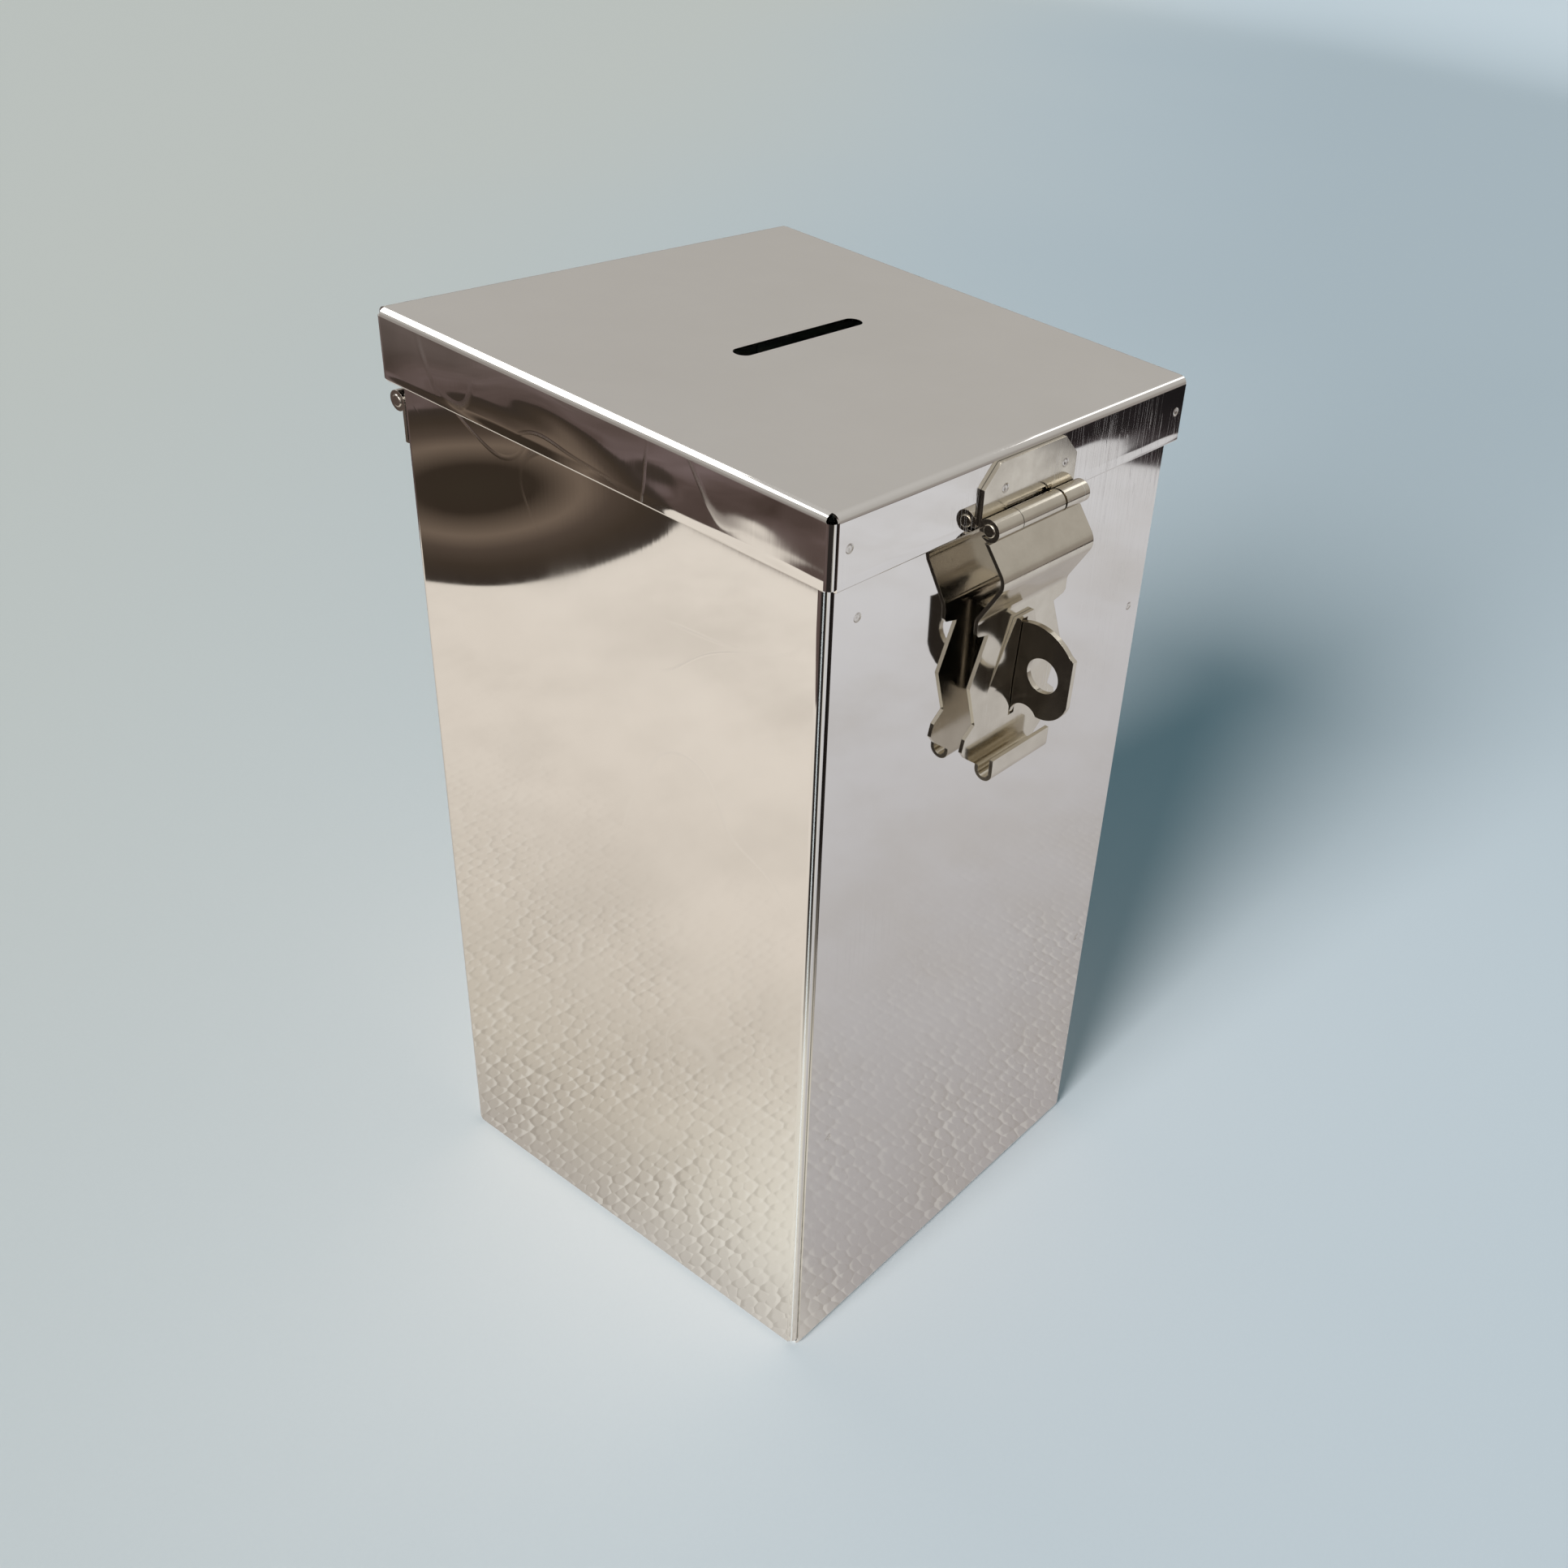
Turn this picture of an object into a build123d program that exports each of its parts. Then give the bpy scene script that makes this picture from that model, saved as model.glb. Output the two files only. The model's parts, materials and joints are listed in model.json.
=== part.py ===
from build123d import *
import math
import os

# Donation box folded from thin stainless sheet: a square body, a hinged tray lid with a coin slot,
# a full-width hinge at the back and a hasp and staple at the front that take a padlock.
# Frame: millimetres, origin on the floor at the centre of the base, +Z up, the hasp faces -Y.

# --- driving dimensions -------------------------------------------------------------------------

# body
BODY_WIDTH = 124.0
BODY_DEPTH = 128.6
BODY_SHEET = 0.6
RIM_Z = 249.2  # top of the body, just under the lid sheet
RIM_BEND = 3.0  # outside radius where the front and back turn in at the top
RIM_FLANGE = 7.0  # how far the front and back turn in at the top
BASE_BEND = 2.0  # outside radius where the front and back turn under the base
SEAM_INSET = 2.1  # front, back and base sheets stop this far in from the side faces
SIDE_BEND = 1.8  # outside radius of the side panels' bends
SIDE_FLANGE = 13.0  # width of the side panels' welded flanges
SIDE_HEM = 6.0  # height of the folded-over top edge of each side panel

# lid
LID_WIDTH = 127.0
LID_TOP_Z = 250.0
LID_SHEET = 0.5
LID_FRONT_Y = -66.6
LID_BACK_Y = 68.4
SKIRT_HEIGHT = 16.6
LID_BEND = 1.75  # outside radius between the top and the skirts
LID_CORNER = 1.6  # outside radius of the upright corner bends
LID_TAB = 12.5  # width of the corner tabs behind the front and back skirts
LID_HEM = 5.0  # height of the folded-over lower edge of the skirts

# coin slot in the lid
SLOT_LENGTH = 41.0
SLOT_WIDTH = 4.8
SLOT_X = 2.2
SLOT_Y = 4.4

# rear hinge
HINGE_LENGTH = 122.0
HINGE_KNUCKLES = 11
HINGE_SHEET = 0.9
HINGE_REACH = 2.5  # from the pin's axis to the outer face of each leaf
HINGE_OUTER = 2.45
HINGE_BORE = 1.58
HINGE_PIN = 1.5
HINGE_Z = 228.0
HINGE_BODY_LEAF = 9.5  # how far the body's leaf runs down from the axis
HINGE_LID_LEAF = 14.0  # how far the lid's leaf runs up from the axis
HINGE_NOTCH = 3.8  # from the axis to the edge of a leaf's notch around the other leaf's knuckle
KNUCKLE_GAP = 0.2

# hasp: plate welded to the lid, leaf that hangs from it
HASP_X = -1.5
HASP_SHEET = 1.0
HASP_HALF_WIDTH = 16.8
HASP_AXIS_Y = LID_FRONT_Y - 3.2
HASP_AXIS_Z = LID_TOP_Z - 15.4
HASP_OUTER = 2.7
HASP_BORE = 1.7
HASP_PIN = 1.63
HASP_MIDDLE = 8.0  # half the width between the plate's two knuckles
HASP_PLAY = 0.6  # wider gap to the right of the leaf's knuckle
HASP_NOTCH = 3.15  # from the axis to the sheet of the other hasp half
PLATE_TOP_Z = LID_TOP_Z - 1.9
PLATE_CHAMFER = 5.0
LEAF_FACE_Y = LID_FRONT_Y - 2.8  # outer face of the leaf's flat tongue
CURL_RADIUS = 2.55
CURL_Z = LID_TOP_Z - 79.35  # where the tongue starts to curl outwards
CURL_LIP = 4.0  # how far the curl's lip comes back up
CURL_HALF_WIDTH = 11.0

# staple: an eye plate that passes through the leaf and takes the padlock
EYE_SHEET = 1.4
EYE_HOLE = 4.4
EYE_HOLE_Y = LID_FRONT_Y - 10.8
EYE_HOLE_Z = LID_TOP_Z - 54.5
EYE_TOP_Z = LID_TOP_Z - 43.9
EYE_BOTTOM_Z = LID_TOP_Z - 68.2
LEAF_SLOT_WIDTH = 2.2
LEAF_SLOT_TOP_Z = LID_TOP_Z - 42.3
LEAF_SLOT_BOTTOM_Z = LID_TOP_Z - 68.7
FOOT_LENGTH = 12.0

# spot welds
WELD = 1.15  # nugget radius
WELD_DISH = 0.12  # depth of the dent that the electrode leaves

BODY_FRONT_Y = -BODY_DEPTH / 2
BODY_BACK_Y = BODY_DEPTH / 2
SIDE_X = BODY_WIDTH / 2
WRAP_HALF = SIDE_X - SEAM_INSET
LID_SIDE_X = LID_WIDTH / 2
SKIRT_Z = LID_TOP_Z - SKIRT_HEIGHT
HINGE_Y = BODY_BACK_Y + HINGE_REACH

FRONT_WELDS = [(-52.7, 224), (-52.7, 75), (-52.7, 15), (55.0, 188), (55.0, 75), (55.0, 15)]
BACK_WELDS = [(x, z) for x in (-54, 54) for z in (200, 140, 80, 20)]
BASE_WELDS = [(x, y) for x in (-54, 54) for y in (-45, 0, 45)]
LID_WELDS = [(-58.8, 242.3), (59.0, 241.7)]
HINGE_WELD_XS = (-50, -17, 17, 50)
PLATE_WELD_XS = (HASP_X - 9.4, HASP_X + 12.6)
PLATE_WELD_Z = LID_TOP_Z - 8.3
FOOT_WELDS = [(HASP_X + 7.5, EYE_TOP_Z - 5), (HASP_X + 7.5, EYE_BOTTOM_Z + 5)]


# --- helpers ------------------------------------------------------------------------------------


def prism(outline, plane, depth):
    """A closed outline drawn on a plane and extruded along the plane's normal."""
    return extrude(plane * Face(outline.wires()[0]), amount=depth, dir=plane.z_dir)


def folded(points, radii, thickness, side, plane, depth):
    """A sheet folded along points (its outer face), extruded along the plane's normal."""
    line = FilletPolyline(*points, radius=radii)
    outline = line.wires()[0].offset_2d(distance=thickness, side=side, closed=True)
    return prism(outline, plane, depth)


def block(x0, x1, y0, y1, z0, z1):
    """A box from its lowest and highest corners."""
    return Pos((x0 + x1) / 2, (y0 + y1) / 2, (z0 + z1) / 2) * Box(x1 - x0, y1 - y0, z1 - z0)


def rod(radius, x0, x1, y, z):
    """A cylinder along X."""
    return Pos((x0 + x1) / 2, y, z) * Rot(0, 90, 0) * Cylinder(radius, x1 - x0)


def round_edge(x0, x1, y0, y1, z, along):
    """The rounded fold of a hem, half a cylinder wide, lying along X or Y at height z."""
    if along == "x":
        return Pos((x0 + x1) / 2, (y0 + y1) / 2, z) * Rot(0, 90, 0) * Cylinder((y1 - y0) / 2, x1 - x0)
    return Pos((x0 + x1) / 2, (y0 + y1) / 2, z) * Rot(90, 0, 0) * Cylinder((x1 - x0) / 2, y1 - y0)


def nugget(depth):
    """A spot weld through two sheets: it starts at the origin, runs to +Z, and its near end is dished."""
    outline = Polyline(
        (0, WELD_DISH),
        (WELD * 0.55, WELD_DISH * 0.55),
        (WELD * 0.8, WELD_DISH),
        (WELD, 0),
        (WELD, depth),
        (0, depth),
        close=True,
    )
    return revolve(Plane.XZ * Face(outline.wires()[0]), Axis.Z)


def welds_along_y(spots, y, direction, depth):
    """Nuggets through an upright sheet whose outer face is at y; direction points into the sheet."""
    turn = Rot(-90, 0, 0) if direction > 0 else Rot(90, 0, 0)
    return [Pos(x, y, z) * turn * nugget(depth) for x, z in spots]


def weld_holes_along_y(spots, y, direction, depth):
    """Cutters for the same nuggets."""
    middle = y + direction * depth / 2
    return [Pos(x, middle, z) * Rot(90, 0, 0) * Cylinder(WELD, depth) for x, z in spots]


def cut(shape, cutters):
    """The shape less every cutter."""
    for cutter in cutters:
        shape = shape - cutter
    return shape


def write(shape, name):
    """One STEP file per named piece; a list of solids becomes one group."""
    if isinstance(shape, list):
        shape = Compound(children=shape)
    export_step(shape, f"parts/{name}.step")


# --- body ---------------------------------------------------------------------------------------


def body_wrap():
    """Front, base and back in one folded sheet, turned in at the top front and top back."""
    sheet = folded(
        [
            (BODY_FRONT_Y + RIM_FLANGE, RIM_Z),
            (BODY_FRONT_Y, RIM_Z),
            (BODY_FRONT_Y, 0),
            (BODY_BACK_Y, 0),
            (BODY_BACK_Y, RIM_Z),
            (BODY_BACK_Y - RIM_FLANGE, RIM_Z),
        ],
        [RIM_BEND, BASE_BEND, BASE_BEND, RIM_BEND],
        BODY_SHEET,
        Side.LEFT,
        Plane.YZ.offset(-WRAP_HALF),
        2 * WRAP_HALF,
    )
    holes = weld_holes_along_y(FRONT_WELDS, BODY_FRONT_Y, 1, BODY_SHEET)
    holes += weld_holes_along_y(BACK_WELDS, BODY_BACK_Y, -1, BODY_SHEET)
    holes += weld_holes_along_y(FOOT_WELDS, BODY_FRONT_Y, 1, BODY_SHEET)
    holes += weld_holes_along_y(hinge_weld_spots(-1), BODY_BACK_Y, -1, BODY_SHEET)
    holes += [Pos(x, y, BODY_SHEET / 2) * Cylinder(WELD, BODY_SHEET) for x, y in BASE_WELDS]
    return cut(sheet, holes)


def side_panel_blank():
    """Left wall with flanges bent in behind the front, the back and above the base, and a hemmed top."""
    inner_front = BODY_FRONT_Y + BODY_SHEET
    inner_back = BODY_BACK_Y - BODY_SHEET
    floor = BODY_SHEET
    bend_floor = floor + SIDE_BEND
    upright_top = RIM_Z - RIM_BEND - 1
    uprights = folded(
        [
            (-SIDE_X + SIDE_FLANGE, inner_front),
            (-SIDE_X, inner_front),
            (-SIDE_X, inner_back),
            (-SIDE_X + SIDE_FLANGE, inner_back),
        ],
        SIDE_BEND,
        BODY_SHEET,
        Side.RIGHT,
        Plane.XY.offset(bend_floor),
        upright_top - bend_floor,
    )
    wall_front = inner_front + SIDE_BEND
    wall_back = inner_back - SIDE_BEND
    wall = folded(
        [(-SIDE_X + SIDE_FLANGE, floor), (-SIDE_X, floor), (-SIDE_X, RIM_Z - BODY_SHEET)],
        SIDE_BEND,
        BODY_SHEET,
        Side.RIGHT,
        Plane.XZ.offset(-wall_back),
        wall_back - wall_front,
    )
    hem = block(
        -SIDE_X, -SIDE_X + 2 * BODY_SHEET, wall_front, wall_back, RIM_Z - SIDE_HEM, RIM_Z - BODY_SHEET
    )
    fold = round_edge(
        -SIDE_X, -SIDE_X + 2 * BODY_SHEET, wall_front, wall_back, RIM_Z - BODY_SHEET, "y"
    )
    return uprights + wall + hem + fold


def side_panel(sign):
    """The left (-1) or right (1) wall, with the holes of its own spot welds."""
    panel = side_panel_blank()
    if sign > 0:
        panel = mirror(panel, about=Plane.YZ)
    front = [spot for spot in FRONT_WELDS if spot[0] * sign > 0]
    back = [spot for spot in BACK_WELDS if spot[0] * sign > 0]
    base = [spot for spot in BASE_WELDS if spot[0] * sign > 0]
    holes = weld_holes_along_y(front, BODY_FRONT_Y + BODY_SHEET, 1, BODY_SHEET)
    holes += weld_holes_along_y(back, BODY_BACK_Y - BODY_SHEET, -1, BODY_SHEET)
    holes += [Pos(x, y, 1.5 * BODY_SHEET) * Cylinder(WELD, BODY_SHEET) for x, y in base]
    return cut(panel, holes)


# --- lid ----------------------------------------------------------------------------------------


def lid_tray():
    """Tray lid: hemmed skirts, corner tabs behind the front and back skirts, and the coin slot."""
    across = LID_SIDE_X - LID_CORNER
    front_tab_y = LID_FRONT_Y + LID_SHEET
    back_tab_y = LID_BACK_Y - LID_SHEET
    hem_top = SKIRT_Z + LID_HEM
    fold_z = SKIRT_Z + LID_SHEET
    front_back = folded(
        [(LID_FRONT_Y, fold_z), (LID_FRONT_Y, LID_TOP_Z), (LID_BACK_Y, LID_TOP_Z), (LID_BACK_Y, fold_z)],
        LID_BEND,
        LID_SHEET,
        Side.RIGHT,
        Plane.YZ.offset(-across),
        2 * across,
    )
    side_front = front_tab_y + LID_CORNER
    side_back = back_tab_y - LID_CORNER
    sides = folded(
        [(-LID_SIDE_X, fold_z), (-LID_SIDE_X, LID_TOP_Z), (LID_SIDE_X, LID_TOP_Z), (LID_SIDE_X, fold_z)],
        LID_BEND,
        LID_SHEET,
        Side.RIGHT,
        Plane.XZ.offset(-side_back),
        side_back - side_front,
    )
    lid = front_back + sides
    double = 2 * LID_SHEET
    lid += block(-across, across, LID_FRONT_Y, LID_FRONT_Y + double, fold_z, hem_top)
    lid += round_edge(-across, across, LID_FRONT_Y, LID_FRONT_Y + double, fold_z, "x")
    lid += block(-across, across, LID_BACK_Y - double, LID_BACK_Y, fold_z, hem_top)
    lid += round_edge(-across, across, LID_BACK_Y - double, LID_BACK_Y, fold_z, "x")
    for sign in (-1, 1):
        low, high = sorted((sign * LID_SIDE_X, sign * (LID_SIDE_X - double)))
        lid += block(low, high, side_front, side_back, fold_z, hem_top)
        lid += round_edge(low, high, side_front, side_back, fold_z, "y")
        corner_side = Side.RIGHT if sign < 0 else Side.LEFT
        corners = folded(
            [
                (sign * (LID_SIDE_X - LID_TAB), front_tab_y),
                (sign * LID_SIDE_X, front_tab_y),
                (sign * LID_SIDE_X, back_tab_y),
                (sign * (LID_SIDE_X - LID_TAB), back_tab_y),
            ],
            LID_CORNER,
            LID_SHEET,
            corner_side,
            Plane.XY.offset(fold_z),
            LID_TOP_Z - LID_BEND - fold_z,
        )
        lid += corners
    slot = SlotOverall(SLOT_LENGTH, SLOT_WIDTH)
    coin_slot = Pos(SLOT_X, SLOT_Y, LID_TOP_Z - 2) * extrude(slot, amount=4)
    holes = weld_holes_along_y(LID_WELDS, LID_FRONT_Y, 1, double)
    holes += weld_holes_along_y(LID_WELDS, LID_BACK_Y, -1, double)
    holes += weld_holes_along_y(plate_weld_spots(), LID_FRONT_Y, 1, LID_SHEET)
    holes += weld_holes_along_y(hinge_weld_spots(1), LID_BACK_Y, -1, LID_SHEET)
    return cut(lid, [coin_slot] + holes)


# --- rear hinge ---------------------------------------------------------------------------------


def hinge_weld_spots(up):
    """Weld places on a hinge leaf: up is 1 for the lid's leaf and -1 for the body's."""
    z = HINGE_Z + HINGE_LID_LEAF - 3.6 if up > 0 else HINGE_Z - HINGE_BODY_LEAF + 2.8
    return [(x, z) for x in HINGE_WELD_XS]


def hinge_leaf(body_side):
    """One leaf of the rear hinge with every other knuckle; the body's leaf has the two end knuckles."""
    pitch = HINGE_LENGTH / HINGE_KNUCKLES
    up = -1 if body_side else 1
    near = HINGE_Y + up * HINGE_REACH
    y0, y1 = sorted((near, near - up * HINGE_SHEET))
    z0 = HINGE_Z - HINGE_BODY_LEAF if body_side else HINGE_Z
    z1 = HINGE_Z if body_side else HINGE_Z + HINGE_LID_LEAF
    leaf = block(-HINGE_LENGTH / 2, HINGE_LENGTH / 2, y0, y1, z0, z1)
    for number in range(HINGE_KNUCKLES):
        x0 = -HINGE_LENGTH / 2 + number * pitch
        x1 = x0 + pitch
        own = (number % 2 == 0) == body_side
        if own:
            start = x0 + (KNUCKLE_GAP / 2 if number else 0)
            end = x1 - (KNUCKLE_GAP / 2 if number < HINGE_KNUCKLES - 1 else 0)
            leaf += rod(HINGE_OUTER, start, end, HINGE_Y, HINGE_Z)
        else:
            notch = block(
                x0 - KNUCKLE_GAP / 2,
                x1 + KNUCKLE_GAP / 2,
                y0 - 1,
                y1 + 1,
                HINGE_Z - HINGE_NOTCH,
                HINGE_Z + HINGE_NOTCH,
            )
            leaf -= notch
    leaf -= rod(HINGE_BORE, -HINGE_LENGTH, HINGE_LENGTH, HINGE_Y, HINGE_Z)
    holes = weld_holes_along_y(hinge_weld_spots(up), near, -up, HINGE_SHEET)
    return cut(leaf, holes)


def rear_hinge_pin():
    """The hinge wire, with lightly peened ends."""
    pin = rod(HINGE_PIN, -HINGE_LENGTH / 2 - 0.3, HINGE_LENGTH / 2 + 0.3, HINGE_Y, HINGE_Z)
    ends = pin.edges().filter_by(GeomType.CIRCLE)
    return fillet(ends, 0.35)


# --- hasp ---------------------------------------------------------------------------------------


def plate_weld_spots():
    """Weld places on the hasp plate."""
    return [(x, PLATE_WELD_Z) for x in PLATE_WELD_XS]


def hasp_barrel(x0, x1):
    """A solid knuckle of the hasp between two places along X."""
    return rod(HASP_OUTER, x0, x1, HASP_AXIS_Y, HASP_AXIS_Z)


def hasp_plate():
    """Plate on the lid's front skirt with cut top corners and the two outer knuckles."""
    outline = Polyline(
        (-HASP_HALF_WIDTH, HASP_AXIS_Z),
        (-HASP_HALF_WIDTH, PLATE_TOP_Z - PLATE_CHAMFER),
        (-HASP_HALF_WIDTH + PLATE_CHAMFER, PLATE_TOP_Z),
        (HASP_HALF_WIDTH - PLATE_CHAMFER, PLATE_TOP_Z),
        (HASP_HALF_WIDTH, PLATE_TOP_Z - PLATE_CHAMFER),
        (HASP_HALF_WIDTH, HASP_AXIS_Z),
        close=True,
    )
    plate = Pos(HASP_X, 0, 0) * prism(outline, Plane.XZ.offset(-LID_FRONT_Y), HASP_SHEET)
    gap = HASP_MIDDLE + KNUCKLE_GAP / 2
    plate += hasp_barrel(HASP_X - HASP_HALF_WIDTH, HASP_X - gap)
    plate += hasp_barrel(HASP_X + gap, HASP_X + HASP_HALF_WIDTH)
    plate -= block(
        HASP_X - gap,
        HASP_X + gap,
        HASP_AXIS_Y,
        LID_FRONT_Y + 1,
        HASP_AXIS_Z - HASP_NOTCH,
        HASP_AXIS_Z + HASP_NOTCH,
    )
    plate -= rod(HASP_BORE, HASP_X - 30, HASP_X + 30, HASP_AXIS_Y, HASP_AXIS_Z)
    # the rolled sheet's free edge stops short of the plate, below and behind the pin
    mouth = block(HASP_X - 30, HASP_X + 30, HASP_AXIS_Y, LID_FRONT_Y, HASP_AXIS_Z - 1.9, HASP_AXIS_Z - 0.9)
    plate -= mouth
    return cut(plate, weld_holes_along_y(plate_weld_spots(), LID_FRONT_Y, -1, HASP_SHEET))


def hasp_pin():
    """The hasp's pin, a little proud of the knuckles and rounded at its ends."""
    pin = rod(
        HASP_PIN, HASP_X - HASP_HALF_WIDTH - 0.2, HASP_X + HASP_HALF_WIDTH + 0.4, HASP_AXIS_Y, HASP_AXIS_Z
    )
    ends = pin.edges().filter_by(GeomType.CIRCLE)
    return fillet(ends, 0.4)


def leaf_outline():
    """The leaf seen from the front: knuckle strip, shoulders, a tongue that widens, a waist and a foot."""
    shoulder = HASP_AXIS_Z - HASP_NOTCH
    knuckle = HASP_MIDDLE - HASP_PLAY
    right = [
        (knuckle, HASP_AXIS_Z),
        (knuckle, shoulder),
        (HASP_HALF_WIDTH, shoulder),
        (HASP_HALF_WIDTH, LID_TOP_Z - 40.9),
        (16.2, LID_TOP_Z - 41.7),
        (12.3, LID_TOP_Z - 42.6),
        (17.4, LID_TOP_Z - 54.8),
        (14.1, LID_TOP_Z - 65.9),
        (17.3, LID_TOP_Z - 68.6),
        (18.1, LID_TOP_Z - 71.8),
        (16.3, LID_TOP_Z - 74.2),
        (CURL_HALF_WIDTH, CURL_Z + 1),
        (CURL_HALF_WIDTH, CURL_Z - 2 * CURL_RADIUS),
    ]
    left = [(-x, z) for x, z in reversed(right)]
    return Polyline(*right, *left, close=True)


def hasp_leaf():
    """Hanging leaf: knuckle, half-round bulge, flat tongue with a slot for the eye, and a finger curl."""
    ridge = (-6.3, -10.9)  # the bulge's sharp corner before rounding, from the pin's axis
    inside = HASP_BORE - 0.08  # how close the sheet's front plane passes to the pin's axis
    lean = math.atan2(-ridge[0], -ridge[1]) + math.asin(inside / math.hypot(*ridge))
    inner_curl = CURL_RADIUS - HASP_SHEET
    tip_y = LEAF_FACE_Y - 2 * inner_curl
    reach = 20.0
    sheet = folded(
        [
            (HASP_AXIS_Y + inside * math.cos(lean), HASP_AXIS_Z - inside * math.sin(lean)),
            (HASP_AXIS_Y + ridge[0], HASP_AXIS_Z + ridge[1]),
            (LEAF_FACE_Y, LID_TOP_Z - 37.7),
            (LEAF_FACE_Y, CURL_Z - inner_curl),
            (tip_y, CURL_Z - inner_curl),
            (tip_y, CURL_Z + CURL_LIP),
        ],
        [4.3, 3.0, inner_curl * 0.999, inner_curl * 0.999],
        HASP_SHEET,
        Side.LEFT,
        Plane.YZ.offset(HASP_X - reach),
        2 * reach,
    )
    leaf = sheet & Pos(HASP_X, 0, 0) * prism(leaf_outline(), Plane.XZ.offset(-LID_FRONT_Y - 10), 40)
    lip_z = CURL_Z + CURL_LIP + 1
    for sign in (-1, 1):
        x0, x1 = sorted((HASP_X + sign * CURL_HALF_WIDTH, HASP_X + sign * reach))
        leaf -= block(x0, x1, tip_y - 5, LEAF_FACE_Y - inner_curl, CURL_Z - 5, lip_z)
    leaf += hasp_barrel(HASP_X - HASP_MIDDLE + KNUCKLE_GAP / 2, HASP_X + HASP_MIDDLE - HASP_PLAY)
    leaf += tongue_facet()
    leaf -= rod(HASP_BORE, HASP_X - reach, HASP_X + reach, HASP_AXIS_Y, HASP_AXIS_Z)
    slot_height = LEAF_SLOT_TOP_Z - LEAF_SLOT_BOTTOM_Z
    leaf -= Pos(HASP_X, LEAF_FACE_Y, LEAF_SLOT_BOTTOM_Z + slot_height / 2) * Box(
        LEAF_SLOT_WIDTH, 8, slot_height
    )
    return leaf


def tongue_facet():
    """Raised facet around the leaf's slot: proud at its narrow top and fading out lower down."""
    top_z = LEAF_SLOT_TOP_Z + 1.0
    fade_z = LID_TOP_Z - 63.0
    outline = Polyline((-3.3, top_z), (3.3, top_z), (12.5, fade_z), (-12.5, fade_z), close=True)
    facet = Pos(HASP_X, 0, 0) * prism(outline, Plane.XZ.offset(-LEAF_FACE_Y - 0.1), 1.0)
    wedge_line = Polyline(
        (LEAF_FACE_Y + 0.2, top_z), (LEAF_FACE_Y - 0.9, top_z), (LEAF_FACE_Y + 0.2, fade_z), close=True
    )
    return facet & prism(wedge_line, Plane.YZ.offset(HASP_X - 20), 40)


# --- staple -------------------------------------------------------------------------------------


def eye_outline():
    """The eye plate seen from the side: domed top, straight nose and a snap notch underneath."""
    face_y = BODY_FRONT_Y
    return [
        Line((face_y, EYE_BOTTOM_Z), (face_y, EYE_TOP_Z)),
        Line((face_y, EYE_TOP_Z), (LID_FRONT_Y - 1.9, EYE_TOP_Z)),
        ThreePointArc(
            (LID_FRONT_Y - 1.9, EYE_TOP_Z),
            (LID_FRONT_Y - 10.5, LID_TOP_Z - 42.6),
            (LID_FRONT_Y - 17.2, LID_TOP_Z - 46.6),
        ),
        Line((LID_FRONT_Y - 17.2, LID_TOP_Z - 46.6), (LID_FRONT_Y - 18.7, LID_TOP_Z - 47.6)),
        Line((LID_FRONT_Y - 18.7, LID_TOP_Z - 47.6), (LID_FRONT_Y - 18.4, LID_TOP_Z - 60.0)),
        ThreePointArc(
            (LID_FRONT_Y - 18.4, LID_TOP_Z - 60.0),
            (LID_FRONT_Y - 15.2, LID_TOP_Z - 64.6),
            (LID_FRONT_Y - 10.2, LID_TOP_Z - 65.9),
        ),
        ThreePointArc(
            (LID_FRONT_Y - 10.2, LID_TOP_Z - 65.9),
            (LID_FRONT_Y - 6.6, LID_TOP_Z - 64.0),
            (LID_FRONT_Y - 3.1, LID_TOP_Z - 66.6),
        ),
        Line((LID_FRONT_Y - 3.1, LID_TOP_Z - 66.6), (LID_FRONT_Y - 2.6, EYE_BOTTOM_Z)),
        Line((LID_FRONT_Y - 2.6, EYE_BOTTOM_Z), (face_y, EYE_BOTTOM_Z)),
    ]


def staple_eye():
    """Eye plate bent from one strip: a foot welded to the body and an eye that stands out of it."""
    left = HASP_X - EYE_SHEET / 2
    blade = prism(Wire(eye_outline()), Plane.YZ.offset(left), EYE_SHEET)
    foot_line = [
        (left, BODY_FRONT_Y - 4),
        (left, BODY_FRONT_Y),
        (left + FOOT_LENGTH, BODY_FRONT_Y),
    ]
    foot = folded(
        foot_line, 2.0, HASP_SHEET, Side.RIGHT, Plane.XY.offset(EYE_BOTTOM_Z), EYE_TOP_Z - EYE_BOTTOM_Z
    )
    corner = block(left, left + 2.0, BODY_FRONT_Y - 2.0, BODY_FRONT_Y, EYE_BOTTOM_Z, EYE_TOP_Z)
    bend = Pos(left + 2.0, BODY_FRONT_Y - 2.0, (EYE_TOP_Z + EYE_BOTTOM_Z) / 2) * Cylinder(
        2.0, EYE_TOP_Z - EYE_BOTTOM_Z
    )
    blade -= corner - bend
    staple = blade + foot
    staple -= rod(EYE_HOLE, HASP_X - 5, HASP_X + 5, EYE_HOLE_Y, EYE_HOLE_Z)
    return cut(staple, weld_holes_along_y(FOOT_WELDS, BODY_FRONT_Y, -1, HASP_SHEET))


# --- write the pieces ---------------------------------------------------------------------------

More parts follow.
